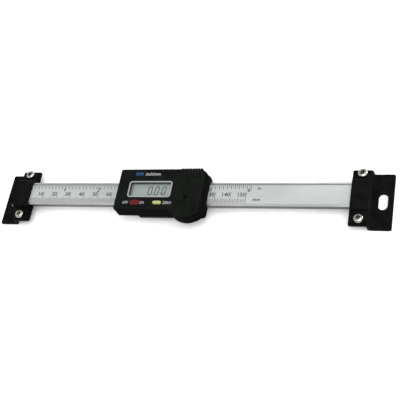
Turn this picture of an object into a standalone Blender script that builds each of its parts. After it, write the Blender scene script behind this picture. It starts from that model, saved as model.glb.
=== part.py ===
# Digital linear scale: a stainless beam in two clamped feet, and a reading head that slides on it.
# It lies face up: X runs along the beam, Y across it, Z out of its face. Z = 0 is the underside of
# the feet, and X = Y = 0 is the middle of the beam. Lengths are in metres.

import math

import bmesh
import bpy
from mathutils import Matrix, Vector

# Clearances shared by all pieces
seat_gap = 0.0003
glue_line = 0.0001
overrun = 0.001
same_place = 0.000001
corner_steps = 4
round_steps = 24

# Beam, with the groove for the scale strip in its face
beam_length = 0.230
beam_width = 0.016
beam_thickness = 0.0035
lip_width = 0.0014
groove_depth = 0.0008
beam_edge = 0.00025

# Scale strip and printed ruler film, bonded in the groove
film_thickness = 0.00015
film_recess = 0.00005
strip_end_margin = 0.0015

# Feet: Z-bent sheet, with a raised seat for the beam and a slotted flange
sheet = 0.0015
bend_radius = 0.0006
beam_engagement = 0.0095
seat_width = 0.012
seat_rise = 0.0052
flange_reach = 0.012
plate_corner = 0.0008
slot_width = 0.0055
slot_length = 0.0106
slot_inset = 0.006

# Clamp straps: hat-bent sheet over the ends of the beam
strap_sheet = 0.0015
strap_inset = 0.0011
strap_width = 0.0108
strap_margin = 0.001

# Pan-head screws that hold strap and foot together
screw_inset = 0.0063
screw_room = 0.00145
screw_edge = 0.0034
screw_head_diameter = 0.0055
screw_head_height = 0.0019
screw_shank_diameter = 0.0026
screw_tail = 0.0014
crown_shares = (0.3, 0.55, 0.75, 0.9)
cross_width = 0.0009
cross_length = 0.0033
cross_depth = 0.001

# Reading head: its housing, seen from the front, and the display window in it
head_rest_x = -0.010425
upper_overhang = 0.0059
lower_overhang = 0.0064
rim_drop = 0.002
wall = 0.0012
front_wall = 0.0018
small_corner = 0.0012
end_corner = 0.0055
edge_round = 0.0006
end_round = 0.0026
lobe_margin = 0.00535
lobe_inset = 0.0115
lobe_lift = 0.0085
beam_notch_gap = 0.0004
window_inset = 0.00785
window_width = 0.0291
window_height = 0.0112
window_y = -0.0004
window_corner = 0.0018
window_to_seam = 0.003
frame_band = 0.00085
frame_thickness = 0.0002
frame_proud = 0.0001
lens_thickness = 0.0006
lcd_margin = 0.0011
lcd_thickness = 0.0016
lcd_glass = 0.0008
lcd_ledge = 0.0011
connector_width = 0.0013

# Coin cell, its contacts and the ring that keeps it in place
coin_radius = 0.008
coin_thickness = 0.0025
coin_edge = 0.0003
coin_lift = 0.0002
coin_play = 0.0006
coin_headroom = 0.0006
contact_space = 0.0011
contact_sheet = 0.0002
contact_width = 0.003
contact_pitch = 0.0036
contact_tail = 0.003
contact_reach = 0.0105
contact_dip = 0.0005
nest_wall = 0.0007
nest_height = 0.002
nest_arcs = ((60, 120), (205, 230), (310, 330))

# Battery cover, at the right end of the head; its length follows from the coin cell
bay_floor = 0.0006
seam = 0.0003
seam_lift = 0.0005
cover_front = 0.0012
grip_rib_count = 8
grip_rib_width = 0.0009
grip_rib_length = 0.0048
grip_rib_proud = 0.00045
grip_rib_start = 0.0013
grip_rib_end = 0.0041
end_groove_count = 4
end_groove_pitch = 0.0019
end_groove_radius = 0.00055
end_groove_inset = 0.0016
end_groove_lift = 0.0002
end_groove_height = 0.019
arrow_length = 0.0032
arrow_width = 0.0042
arrow_depth = 0.0004

# Rail and tongue along the cover's upper side, and tongues that lap under the housing's edge
rail_stem = 0.0008
rail_lip = 0.0011
rail_lip_thickness = 0.0007
rail_start = 0.0045
rail_end = 0.0045
tongue_thickness = 0.0006
lap_reach = 0.001
lap_lift = 0.0001
lap_thickness = 0.0005
lap_width = 0.004
lap_spread = 0.0065

# Circuit board and chip
board_thickness = 0.0008
chip_radius = 0.0042
chip_height = 0.0011
chip_offset = 0.0098
blob_shares = (0.3, 0.6, 0.85)

# Push buttons: places are measured from the head's left end and its two long edges
button_upper_drop = 0.00385
button_lower_drop = 0.0047
unit_button_inset = 0.01345
power_button_inset = 0.01385
zero_button_inset = 0.02895
unit_button_size = (0.0052, 0.0021, 0.0004)
power_button_size = (0.0065, 0.0034, 0.0017)
zero_button_size = (0.0056, 0.0022, 0.0011)
button_proud = 0.0007
button_flange = 0.0006
button_flange_reach = 0.0006
button_stem_length = 0.0009
button_edge = 0.0004
button_travel = 0.0004
pad_side = 0.0032
pad_shares = ((0, 1), (1 / 3, 1), (2 / 3, 0.6), (1, 0.6))

# Carriage: the metal slider under the board
bridge_thickness = 0.001
left_bridge = 0.004
rail_overlap = 0.0005
gib_thickness = 0.0008
gib_end_margin = 0.004
gib_side_margin = 0.0003
gib_screw_diameter = 0.0018
gib_screw_gap = 0.0038
notch_width = 0.003

# Rear cover: folded sheet under the beam
rear_sheet = 0.0008
rear_bend = 0.0002
rear_step = 0.0002
rear_left_inset = 0.01295
rear_right_inset = 0.0064

# Small screws behind the head
small_head_diameter = 0.0028
small_head_height = 0.0009
small_shank_diameter = 0.0014
small_cross_width = 0.0005
small_cross_length = 0.0017
small_cross_depth = 0.0004
rear_screw_end_margin = 0.0037
rear_screw_depth = 0.0022
housing_screw_inset = 0.0035
housing_screw_grip = 0.0022
bay_screw_inset = 0.0019
bay_screw_depth = 0.0023
post_radius = 0.0019

# Levels that follow from the sizes above
seat_top = seat_rise + sheet
beam_bottom = seat_top + seat_gap
beam_top = beam_bottom + beam_thickness
half_beam = beam_width / 2
strip_thickness = groove_depth - film_thickness - film_recess - 2 * glue_line
strip_bottom = beam_top - groove_depth + glue_line
film_bottom = strip_bottom + strip_thickness + glue_line
seat_inner = beam_length / 2 - beam_engagement
riser_outer = seat_inner + seat_width
flange_outer = riser_outer + flange_reach
fold_end = half_beam + seat_gap + strap_sheet + bend_radius
screw_row = fold_end + screw_room + screw_head_diameter / 2
half_bracket = screw_row + screw_edge
roof_inner = beam_top + seat_gap
roof_outer = roof_inner + strap_sheet
flap_bottom = seat_top + seat_gap
flap_top = flap_bottom + strap_sheet
screw_seat = flap_top + seat_gap

cover_length = contact_space + 2 * coin_radius + coin_play + wall
head_length = window_inset + window_width + window_to_seam + cover_length
head_left = head_rest_x - head_length / 2
head_right = head_rest_x + head_length / 2
head_above = half_beam + upper_overhang
head_below = half_beam + lower_overhang
split_x = head_right - cover_length
lobe_x = head_right - lobe_inset
lobe_y = lobe_lift - head_below
lobe_radius = coin_radius + lobe_margin
rim = beam_top - rim_drop
deck_bottom = beam_top + seat_gap
deck_top = deck_bottom + bridge_thickness
floor_bottom = deck_top + seat_gap
floor_top = floor_bottom + bay_floor
board_bottom = deck_bottom + glue_line
board_top = board_bottom + board_thickness
contact_bottom = floor_top + glue_line
coin_bottom = contact_bottom + contact_sheet + coin_lift
coin_top = coin_bottom + coin_thickness
coin_x = split_x + contact_space + coin_radius
coin_y = lobe_y
cover_inner_face = coin_top + coin_headroom
face = cover_inner_face + cover_front
inner_face = face - front_wall
split_z = floor_top + seam_lift
cavity_left = head_left + wall
cavity_right = head_right - wall
cavity_upper = head_above - wall
cavity_lower = -head_below + wall
carriage_left = cavity_left + seat_gap
carriage_right = cavity_right - seat_gap
carriage_upper = cavity_upper - seat_gap
carriage_lower = cavity_lower + seat_gap
pocket_left = carriage_left + left_bridge
pocket_right = split_x - seat_gap
channel_lower = -half_beam - seat_gap
channel_upper = half_beam + 2 * seat_gap + gib_thickness
rail_bottom = beam_bottom - rail_overlap
gib_screw_z = beam_bottom + beam_thickness / 2
rear_top = rail_bottom - seat_gap
rear_bottom = rear_top - rear_sheet
rear_left = head_left + rear_left_inset
rear_right = head_right - rear_right_inset
rear_half = head_below + rear_step

window_left = head_left + window_inset
window_right = window_left + window_width
window_lower = window_y - window_height / 2
window_upper = window_y + window_height / 2
frame_top = face + frame_proud
frame_bottom = frame_top - frame_thickness
lens_top = frame_bottom - glue_line
lens_bottom = lens_top - lens_thickness
pocket_floor = lens_bottom - glue_line
opening_left = window_left + frame_band
opening_right = window_right - frame_band
opening_lower = window_lower + frame_band
opening_upper = window_upper - frame_band
opening_corner = window_corner - frame_band
lcd_top = inner_face - seat_gap
lcd_bottom = lcd_top - lcd_thickness
lcd_left = opening_left - lcd_margin
lcd_right = opening_right + lcd_margin
lcd_lower = opening_lower - lcd_margin
lcd_upper = opening_upper + lcd_margin


def clear_scene():
    for item in list(bpy.data.objects):
        bpy.data.objects.remove(item, do_unlink=True)


# Materials, one function for each finish

def finish(name, colour, roughness, metallic=0.0, alpha=1.0):
    made = bpy.data.materials.get(name) or bpy.data.materials.new(name)
    made.use_nodes = True
    made.diffuse_color = (*colour, alpha)
    shader = made.node_tree.nodes["Principled BSDF"]
    shader.inputs["Base Color"].default_value = (*colour, 1.0)
    shader.inputs["Roughness"].default_value = roughness
    shader.inputs["Metallic"].default_value = metallic
    shader.inputs["Alpha"].default_value = alpha
    return made


def ground_steel():
    return finish("ground_steel", (0.62, 0.63, 0.63), 0.32, 1.0)


def silver_print():
    return finish("silver_print", (0.66, 0.68, 0.68), 0.45, 0.3)


def etched_strip():
    return finish("etched_strip", (0.55, 0.36, 0.16), 0.5, 0.4)


def black_paint():
    return finish("black_paint", (0.022, 0.023, 0.024), 0.38)


def black_plastic():
    return finish("black_plastic", (0.018, 0.019, 0.018), 0.42)


def bright_screw():
    return finish("bright_screw", (0.78, 0.76, 0.70), 0.25, 1.0)


def silver_trim():
    return finish("silver_trim", (0.80, 0.82, 0.82), 0.3, 0.6)


def clear_lens():
    return finish("clear_lens", (0.9, 0.92, 0.9), 0.05, 0.0, 0.25)


def lcd_grey():
    return finish("lcd_grey", (0.52, 0.56, 0.52), 0.25)


def green_board():
    return finish("green_board", (0.03, 0.18, 0.07), 0.5)


def resin():
    return finish("resin", (0.01, 0.01, 0.01), 0.3)


def connector_rubber():
    return finish("connector_rubber", (0.35, 0.34, 0.32), 0.7)


def pad_rubber():
    return finish("pad_rubber", (0.2, 0.2, 0.2), 0.7)


def coin_steel():
    return finish("coin_steel", (0.72, 0.72, 0.72), 0.3, 1.0)


def spring_brass():
    return finish("spring_brass", (0.75, 0.6, 0.3), 0.35, 1.0)


def cast_metal():
    return finish("cast_metal", (0.5, 0.5, 0.5), 0.45, 0.9)


def blue_plastic():
    return finish("blue_plastic", (0.03, 0.13, 0.42), 0.4)


def red_plastic():
    return finish("red_plastic", (0.45, 0.02, 0.03), 0.4)


def yellow_plastic():
    return finish("yellow_plastic", (0.78, 0.72, 0.3), 0.4)


# Outlines: lists of points, anticlockwise

def arc(centre, radius, start, end, steps):
    """Points from the angle start to the angle end, in degrees, ends included."""
    points = []
    for i in range(steps + 1):
        turn = math.radians(start + (end - start) * i / steps)
        points.append((centre[0] + radius * math.cos(turn), centre[1] + radius * math.sin(turn)))
    return points


def round_rectangle(left, right, low, high, radius, steps=corner_steps):
    radius = min(radius, (right - left) / 2, (high - low) / 2)
    points = arc((left + radius, low + radius), radius, 180, 270, steps)
    points += arc((right - radius, low + radius), radius, 270, 360, steps)
    points += arc((right - radius, high - radius), radius, 0, 90, steps)
    points += arc((left + radius, high - radius), radius, 90, 180, steps)
    return without_repeats(points)


def without_repeats(points):
    """Drops points that fall on the one before, as at a corner with no radius."""
    kept = []
    for point in points:
        if not kept or math.dist(point, kept[-1]) > same_place:
            kept.append(point)
    if math.dist(kept[0], kept[-1]) <= same_place:
        kept.pop()
    return kept


def circle(centre, radius, steps=round_steps):
    return arc(centre, radius, 0, 360, steps)[:-1]


def head_outline(inset, end_inset):
    """The housing's outline with its round lobe, drawn in by inset, and by end_inset on the right."""
    left = head_left + inset
    right = head_right - inset - end_inset
    low = -head_below + inset
    high = head_above - inset
    lobe = lobe_radius - inset
    start = 180 + math.degrees(math.asin((lobe_y - low) / lobe))
    end = 360 - math.degrees(math.acos((right - lobe_x) / lobe))
    small = small_corner - inset * small_corner / (small_corner + wall)
    large = end_corner - inset * end_corner / (end_corner + wall)
    points = arc((left + small, low + small), small, 180, 270, corner_steps)
    points += arc((lobe_x, lobe_y), lobe, start, end, round_steps)
    points += arc((right - large, high - large), large, 0, 90, corner_steps + 2)
    points += arc((left + small, high - small), small, 90, 180, corner_steps)
    return points


def right_of(points, x):
    """The part of an outline that lies to the right of x."""
    kept = []
    for i, point in enumerate(points):
        last = points[i - 1]
        if (point[0] > x) != (last[0] > x):
            share = (x - last[0]) / (point[0] - last[0])
            kept.append((x, last[1] + (point[1] - last[1]) * share))
        if point[0] > x:
            kept.append(point)
    return kept


# Solids

def closed(bm):
    bmesh.ops.recalc_face_normals(bm, faces=bm.faces)
    return bm


def extruded(points, start, end, place):
    """A solid between two copies of an outline; place turns (u, v, w) into (x, y, z)."""
    bm = bmesh.new()
    near = [bm.verts.new(place(u, v, start)) for u, v in points]
    far = [bm.verts.new(place(u, v, end)) for u, v in points]
    bm.faces.new(near)
    bm.faces.new(far)
    for i in range(len(points)):
        bm.faces.new((near[i - 1], near[i], far[i], far[i - 1]))
    return closed(bm)


def prism(points, low, high):
    return extruded(points, low, high, lambda u, v, w: (u, v, w))


def bar(profile, left, right):
    """A profile of (y, z) points, drawn out along X."""
    return extruded(profile, left, right, lambda u, v, w: (w, u, v))


def fold(profile, low, high):
    """A profile of (x, z) points, drawn out along Y."""
    return extruded(profile, low, high, lambda u, v, w: (u, w, v))


def block(left, right, low, high, bottom, top):
    return prism([(left, low), (right, low), (right, high), (left, high)], bottom, top)


def loft(rings):
    """A solid through rings of equally many points, capped at both ends."""
    bm = bmesh.new()
    levels = [[bm.verts.new(point) for point in ring] for ring in rings]
    for lower, upper in zip(levels, levels[1:]):
        for i in range(len(lower)):
            bm.faces.new((lower[i - 1], lower[i], upper[i], upper[i - 1]))
    bm.faces.new(levels[0])
    bm.faces.new(levels[-1])
    return closed(bm)


def turned(profile, steps=round_steps):
    """A solid of revolution about Z, from (radius, z) points that start and end on the axis."""
    bm = bmesh.new()
    rows = []
    for radius, z in profile:
        if radius == 0:
            rows.append([bm.verts.new((0, 0, z))] * steps)
            continue
        rows.append([bm.verts.new((x, y, z)) for x, y in circle((0, 0), radius, steps)])
    for upper, lower in zip(rows, rows[1:]):
        for i in range(steps):
            corners = []
            for vert in (upper[i - 1], upper[i], lower[i], lower[i - 1]):
                if vert not in corners:
                    corners.append(vert)
            bm.faces.new(corners)
    return closed(bm)


def moved(bm, shift):
    bmesh.ops.translate(bm, vec=Vector(shift), verts=bm.verts)
    return bm


def turned_over(bm, angle, axis):
    bmesh.ops.rotate(bm, cent=(0, 0, 0), matrix=Matrix.Rotation(math.radians(angle), 3, axis), verts=bm.verts)
    return bm


def merged(parts):
    """Several separate solids in one mesh, for a cutter with many teeth."""
    whole = bmesh.new()
    for part in parts:
        mesh = bpy.data.meshes.new("piece")
        part.to_mesh(mesh)
        part.free()
        whole.from_mesh(mesh)
        bpy.data.meshes.remove(mesh)
    return whole


def bevelled(bm, chosen, width, steps):
    edges = [edge for edge in bm.edges if chosen(edge)]
    bmesh.ops.bevel(bm, geom=edges, offset=width, segments=steps, profile=0.5, affect="EDGES")
    return closed(bm)


def put(bm, name, material, origin=(0, 0, 0), parent=None):
    """Makes the object, with its origin at the given point of the world."""
    moved(bm, -Vector(origin))
    mesh = bpy.data.meshes.new(name)
    bm.to_mesh(mesh)
    bm.free()
    mesh.shade_smooth()
    mesh.set_sharp_from_angle(angle=math.radians(35))
    made = bpy.data.objects.new(name, mesh)
    bpy.context.scene.collection.objects.link(made)
    made.data.materials.append(material)
    made.parent = parent
    made.location = Vector(origin) - (parent.location if parent else Vector())
    return made


def changed(target, tool_mesh, operation):
    """Adds a Boolean to the target, with a hidden tool in the world's own place."""
    tool = bpy.data.objects.new(target.name + "_tool", bpy.data.meshes.new(target.name + "_tool"))
    tool_mesh.to_mesh(tool.data)
    tool_mesh.free()
    bpy.context.scene.collection.objects.link(tool)
    tool.hide_render = True
    tool.display_type = "WIRE"
    modifier = target.modifiers.new(operation.lower(), "BOOLEAN")
    modifier.operation = operation
    modifier.object = tool
    modifier.solver = "EXACT"


def cut(target, *tools):
    changed(target, merged(tools), "DIFFERENCE")


def join(target, *tools):
    changed(target, merged(tools), "UNION")


def drill(x, y, radius, bottom, top, steps=round_steps):
    return prism(circle((x, y), radius, steps), bottom, top)


# Beam, scale strip and ruler film

def make_beam():
    groove = half_beam - lip_width
    floor = beam_top - groove_depth
    low = beam_bottom + beam_edge
    high = beam_top - beam_edge
    side = half_beam - beam_edge
    profile = [(-side, beam_bottom), (side, beam_bottom), (half_beam, low), (half_beam, high)]
    profile += [(side, beam_top), (groove, beam_top), (groove, floor), (-groove, floor)]
    profile += [(-groove, beam_top), (-side, beam_top), (-half_beam, high), (-half_beam, low)]
    put(bar(profile, -beam_length / 2, beam_length / 2), "beam", ground_steel())


def make_scale_strip():
    reach = beam_length / 2 - strip_end_margin
    half = half_beam - lip_width - glue_line
    strip = block(-reach, reach, -half, half, strip_bottom, strip_bottom + strip_thickness)
    put(strip, "scale_strip", etched_strip())


def make_ruler_film():
    reach = beam_length / 2 - strip_end_margin
    half = half_beam - lip_width - glue_line
    film = block(-reach, reach, -half, half, film_bottom, film_bottom + film_thickness)
    put(film, "ruler_film", silver_print())


# Feet, straps and their screws; side is 1 on the right and -1 on the left

def foot_profile():
    outer = bend_radius + sheet
    upper = (riser_outer - outer, seat_top - outer)
    lower = (riser_outer + bend_radius, sheet + bend_radius)
    profile = [(seat_inner, seat_rise)]
    profile += arc(upper, bend_radius, 90, 0, corner_steps)
    profile += arc(lower, outer, 180, 270, corner_steps)
    profile += [(flange_outer, 0), (flange_outer, sheet)]
    profile += arc(lower, bend_radius, 270, 180, corner_steps)
    profile += arc(upper, outer, 0, 90, corner_steps)
    profile += [(seat_inner, seat_top)]
    return profile


def make_bracket(name, side):
    profile = [(side * x, z) for x, z in foot_profile()]
    foot = fold(profile, -half_bracket, half_bracket)

    def at_corner(edge):
        a, b = (vert.co for vert in edge.verts)
        upright = abs(a.x - b.x) < glue_line and abs(a.y - b.y) < glue_line
        far = abs(a.x) > flange_outer - glue_line or abs(a.x) < seat_inner + glue_line
        return upright and far

    foot = bevelled(foot, at_corner, plate_corner, corner_steps - 1)
    made = put(foot, name, black_paint())
    slot_x = side * (riser_outer + slot_inset)
    half = slot_width / 2
    outline = round_rectangle(slot_x - half, slot_x + half, -slot_length / 2, slot_length / 2,
                              half, 2 * corner_steps)
    slot = prism(outline, -overrun, sheet + overrun)
    x = side * (seat_inner + screw_inset)
    radius = screw_shank_diameter / 2 + seat_gap
    holes = [
        drill(x, y, radius, seat_rise - overrun, seat_top + overrun)
        for y in (-screw_row, screw_row)
    ]
    cut(made, slot, *holes)


def strap_profile():
    outer = bend_radius + strap_sheet
    inside = half_beam + seat_gap
    upper = (inside - bend_radius, roof_inner - bend_radius)
    lower = (inside + outer, flap_bottom + outer)
    tip = half_bracket - strap_margin
    over = [(tip, flap_bottom), (tip, flap_top)]
    over += arc(lower, bend_radius, 270, 180, corner_steps)
    over += arc(upper, outer, 0, 90, corner_steps)
    under = arc(upper, bend_radius, 90, 0, corner_steps)
    under += arc(lower, outer, 180, 270, corner_steps)
    mirrored_over = [(-y, z) for y, z in reversed(over)]
    mirrored_under = [(-y, z) for y, z in reversed(under)]
    return over + mirrored_over + mirrored_under + under


def make_strap(name, side):
    near = side * (seat_inner + strap_inset)
    far = side * (seat_inner + strap_inset + strap_width)
    strap = bar(strap_profile(), near, far)

    def at_corner(edge):
        a, b = (vert.co for vert in edge.verts)
        upright = abs(a.x - b.x) < glue_line and abs(a.y - b.y) < glue_line
        return upright and abs(a.y) > half_bracket - strap_margin - glue_line

    strap = bevelled(strap, at_corner, plate_corner, corner_steps - 1)
    made = put(strap, name, black_paint())
    x = side * (seat_inner + screw_inset)
    radius = screw_shank_diameter / 2 + seat_gap
    holes = [
        drill(x, y, radius, flap_bottom - overrun, flap_top + overrun)
        for y in (-screw_row, screw_row)
    ]
    cut(made, *holes)


def pan_screw(head_diameter, head_height, shank_diameter, shank_length):
    """Head up, with its bearing face at z = 0."""
    radius = head_diameter / 2
    crown = head_height / 3
    shoulder = head_height - crown
    tip = shank_diameter / 8
    profile = [(0, head_height)]
    profile += [(radius * share, shoulder + crown * math.sqrt(1 - share ** 4)) for share in crown_shares]
    profile += [(radius, shoulder), (radius, 0), (shank_diameter / 2, 0)]
    profile += [(shank_diameter / 2, tip - shank_length), (shank_diameter / 2 - tip, -shank_length)]
    profile += [(0, -shank_length)]
    return turned(profile)


def cross_tool(width, length, depth, top):
    """The recess for a cross driver, cut down from top."""
    w = width / 2
    r = length / 2
    outline = [(-r, -w), (-w, -w), (-w, -r), (w, -r), (w, -w), (r, -w)]
    outline += [(-x, -y) for x, y in outline]
    return prism(outline, top - depth, top + overrun)


def make_bracket_screw(name, x, y):
    length = screw_seat - seat_rise + screw_tail
    screw = pan_screw(screw_head_diameter, screw_head_height, screw_shank_diameter, length)
    made = put(moved(screw, (x, y, screw_seat)), name, bright_screw())
    recess = cross_tool(cross_width, cross_length, cross_depth, screw_seat + screw_head_height)
    cut(made, moved(turned_over(recess, 35, "Z"), (x, y, 0)))


# Housing of the reading head

def shell_levels():
    """Heights above the rim at which the moulded outline is drawn, with the two insets there."""
    levels = []
    for i in range(corner_steps + 1):
        share = i / corner_steps
        drop = end_round * (1 - math.sin(share * math.pi / 2))
        end_inset = end_round * (1 - math.cos(share * math.pi / 2))
        levels.append([face - drop, drop, end_inset])
    made = []
    for z, drop, end_inset in levels:
        inset = 0
        if drop < edge_round:
            inset = edge_round - math.sqrt(edge_round ** 2 - (edge_round - drop) ** 2)
        made.append((z, inset, end_inset))
    return made


def head_solid(bottom):
    rings = [[(x, y, bottom) for x, y in head_outline(0, 0)]]
    for z, inset, end_inset in shell_levels():
        rings.append([(x, y, z) for x, y in head_outline(inset, end_inset)])
    return loft(rings)


def button_places():
    upper = head_above - button_upper_drop
    lower = button_lower_drop - head_below
    return {
        "unit_button": (head_left + unit_button_inset, upper, unit_button_size),
        "power_button": (head_left + power_button_inset, lower, power_button_size),
        "zero_button": (head_left + zero_button_inset, lower, zero_button_size),
    }


def button_outline(x, y, size, grow):
    half_long = size[0] / 2 + grow
    half_high = size[1] / 2 + grow
    radius = max(size[2] + grow, 0)
    return round_rectangle(x - half_long, x + half_long, y - half_high, y + half_high, radius)


def rail_rows():
    """The centrelines of the carriage's two rails, where its screws stand."""
    return (channel_upper + carriage_upper) / 2, (channel_lower + carriage_lower) / 2


def housing_screw_places():
    """Two screws come up from below at the left end."""
    x = head_left + housing_screw_inset
    upper, lower = rail_rows()
    return {"upper": (x, upper), "lower": (x, lower)}


def bay_screw_place():
    """One screw goes down through the floor of the battery bay."""
    return split_x + bay_screw_inset, rail_rows()[0]


def housing_screw_top():
    return floor_bottom + housing_screw_grip


def cut_housing_inside(housing):
    inner = head_outline(wall, 0)
    lower = prism(inner, rim - overrun, floor_bottom)
    cut(housing, lower)
    chamber = round_rectangle(cavity_left, split_x - wall, cavity_lower, cavity_upper, small_corner / 2)
    cut(housing, prism(chamber, floor_bottom - bay_floor / 2, inner_face))
    cut(housing, block(split_x, head_right + overrun, lobe_y - lobe_radius - overrun,
                       head_above + overrun, split_z, face + overrun))
    cut(housing, prism(right_of(inner, split_x), floor_top, split_z + overrun))


def cut_housing_openings(housing):
    outline = round_rectangle(opening_left, opening_right, opening_lower, opening_upper, opening_corner)
    seat = round_rectangle(window_left - glue_line, window_right + glue_line,
                           window_lower - glue_line, window_upper + glue_line, window_corner + glue_line)
    cut(housing, prism(outline, inner_face - overrun, face + overrun))
    cut(housing, prism(seat, pocket_floor, face + overrun))
    holes = []
    for x, y, size in button_places().values():
        holes.append(prism(button_outline(x, y, size, seat_gap), inner_face - overrun, face + overrun))
    cut(housing, *holes)


def cut_housing_passages(housing):
    half = half_beam + beam_notch_gap
    beam_way = block(head_left - overrun, head_right + overrun, -half, half,
                     rim - overrun, beam_top + beam_notch_gap)
    cut(housing, beam_way)
    notches = []
    for x in gib_screw_places():
        half = notch_width / 2
        outline = round_rectangle(x - half, x + half, carriage_upper, head_above + overrun, 0)
        notches.append(prism(outline, rim - overrun, rim + notch_width))
    cut(housing, *notches)
    slots = []
    for y in (contact_negative_y(), contact_positive_y()):
        half = contact_width / 2 + seat_gap
        slots.append(block(split_x - wall - overrun, split_x + overrun, y - half, y + half,
                           floor_top, floor_top + contact_sheet + 2 * seat_gap))
    cut(housing, *slots)


def add_housing_posts(housing):
    radius = small_shank_diameter / 2 + seat_gap
    places = housing_screw_places().values()
    join(housing, *[drill(x, y, post_radius, floor_bottom, inner_face + front_wall / 2) for x, y in places])
    holes = [drill(x, y, radius, floor_bottom - overrun, housing_screw_top() + seat_gap) for x, y in places]
    holes.append(drill(*bay_screw_place(), radius, floor_bottom - overrun, floor_top + overrun))
    cut(housing, *holes)


def nest_solid(start, end):
    """An arc of the ring that keeps the coin cell in place."""
    inner = coin_radius + seat_gap
    outer = inner + nest_wall
    points = arc((coin_x, coin_y), outer, start, end, 2 * corner_steps)
    points += arc((coin_x, coin_y), inner, end, start, 2 * corner_steps)
    return prism(points, floor_top - bay_floor / 2, floor_top + nest_height)


def upper_rail():
    """The rail that the battery cover's upper tongue runs under."""
    root = floor_top - bay_floor / 2
    lip_bottom = split_z + seat_gap + tongue_thickness + seat_gap
    lip_top = lip_bottom + rail_lip_thickness
    tip = cavity_upper - seat_gap
    stem = tip - rail_lip
    profile = [(stem - rail_stem, root), (stem, root), (stem, lip_bottom), (tip, lip_bottom)]
    profile += [(tip, lip_top), (stem - rail_stem, lip_top)]
    return bar(profile, split_x + rail_start, head_right - rail_end)


def lap_rows():
    """The middles of the cover's two lap tongues."""
    return coin_y - lap_spread, coin_y + 2 * lap_spread


def lap_pocket(y):
    half = lap_width / 2 + seat_gap
    bottom = cover_inner_face + lap_lift - seat_gap
    top = cover_inner_face + lap_lift + lap_thickness + seat_gap
    return block(split_x - lap_reach - seat_gap, split_x + overrun, y - half, y + half, bottom, top)


def make_front_housing(head):
    origin = (head_rest_x, 0, face)
    housing = put(head_solid(rim), "front_housing", black_plastic(), origin, head)
    cut_housing_inside(housing)
    cut_housing_openings(housing)
    cut_housing_passages(housing)
    add_housing_posts(housing)
    join(housing, upper_rail(), *[nest_solid(start, end) for start, end in nest_arcs])
    cut(housing, *[lap_pocket(y) for y in lap_rows()])


# Battery cover

def surface_drop(x):
    """How far the rounded right end lies below the face at x."""
    into = x - (head_right - end_round)
    if into <= 0:
        return 0
    return end_round - math.sqrt(end_round ** 2 - into ** 2)


def grip_ribs():
    """Short ribs across the cover's upper edge, for the thumb."""
    ribs = []
    zone = cover_length - grip_rib_start - grip_rib_end - grip_rib_width
    for i in range(grip_rib_count):
        left = split_x + grip_rib_start + zone * i / (grip_rib_count - 1)
        high = head_above + grip_rib_proud
        low = head_above - grip_rib_length
        top = face + grip_rib_proud
        fillet = grip_rib_proud + edge_round
        profile = [(low, face - edge_round), (low, face)]
        profile += [(low + grip_rib_proud, top)]
        profile += arc((high - fillet, top - fillet), fillet, 90, 0, corner_steps)
        profile += [(high, split_z + 2 * seam + grip_rib_proud)]
        profile += [(head_above - edge_round, split_z + 2 * seam)]
        profile += [(head_above - edge_round, face - edge_round)]
        ribs.append(bar(profile, left, left + grip_rib_width))
    return ribs


def end_grooves():
    """Round grooves across the face near the cover's right end."""
    grooves = []
    for i in range(end_groove_count):
        x = head_right - end_groove_inset - i * end_groove_pitch
        z = face - surface_drop(x) + end_groove_lift
        low = coin_y - end_groove_height / 2
        profile = circle((x, z), end_groove_radius, 2 * corner_steps)
        grooves.append(fold(profile, low, low + end_groove_height))
    return grooves


def arrow_tool():
    """A shallow arrow that points the way the cover slides."""
    half = arrow_width / 2
    left = lobe_x - arrow_length / 2
    outline = [(left, lobe_y - half), (left + arrow_length, lobe_y), (left, lobe_y + half)]
    return prism(outline, face - arrow_depth, face + overrun)


def upper_tongue():
    low = cavity_upper - rail_lip
    bottom = split_z + seat_gap
    return block(split_x + rail_start, head_right - rail_end, low, cavity_upper + wall / 2,
                 bottom, bottom + tongue_thickness)


def lap_tongue(y):
    bottom = cover_inner_face + lap_lift
    half = lap_width / 2
    return block(split_x - lap_reach, split_x + seam + lap_reach, y - half, y + half,
                 bottom, bottom + lap_thickness)


def make_battery_cover(head):
    left = split_x + seam
    bottom = split_z + seat_gap
    origin = (split_x, 0, split_z)
    cover = put(head_solid(bottom), "battery_cover", black_plastic(), origin, head)
    cut(cover, block(head_left - overrun, left, lobe_y - lobe_radius - overrun, head_above + overrun,
                     bottom - overrun, face + overrun))
    inner = right_of(head_outline(wall, 0), split_x - overrun)
    cut(cover, prism(inner, bottom - overrun, cover_inner_face))
    cut(cover, *end_grooves())
    cut(cover, arrow_tool())
    join(cover, *grip_ribs())
    join(cover, upper_tongue(), *[lap_tongue(y) for y in lap_rows()])


# Display

def make_window_frame(head):
    outline = round_rectangle(window_left, window_right, window_lower, window_upper, window_corner)
    frame = put(prism(outline, frame_bottom, frame_top), "window_frame", silver_trim(), parent=head,
                origin=(window_left, window_y, frame_bottom))
    opening = round_rectangle(opening_left, opening_right, opening_lower, opening_upper, opening_corner)
    cut(frame, prism(opening, frame_bottom - overrun, frame_top + overrun))


def make_window_lens(head):
    outline = round_rectangle(window_left, window_right, window_lower, window_upper, window_corner)
    put(prism(outline, lens_bottom, lens_top), "window_lens", clear_lens(), parent=head,
        origin=(window_left, window_y, lens_bottom))


def make_lcd_panel(head):
    step = lcd_bottom + lcd_glass
    profile = [(lcd_lower, lcd_bottom), (lcd_upper, lcd_bottom), (lcd_upper, step)]
    profile += [(lcd_upper - lcd_ledge, step), (lcd_upper - lcd_ledge, lcd_top)]
    profile += [(lcd_lower, lcd_top)]
    put(bar(profile, lcd_left, lcd_right), "lcd_panel", lcd_grey(), parent=head,
        origin=(lcd_left, window_y, lcd_bottom))


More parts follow.
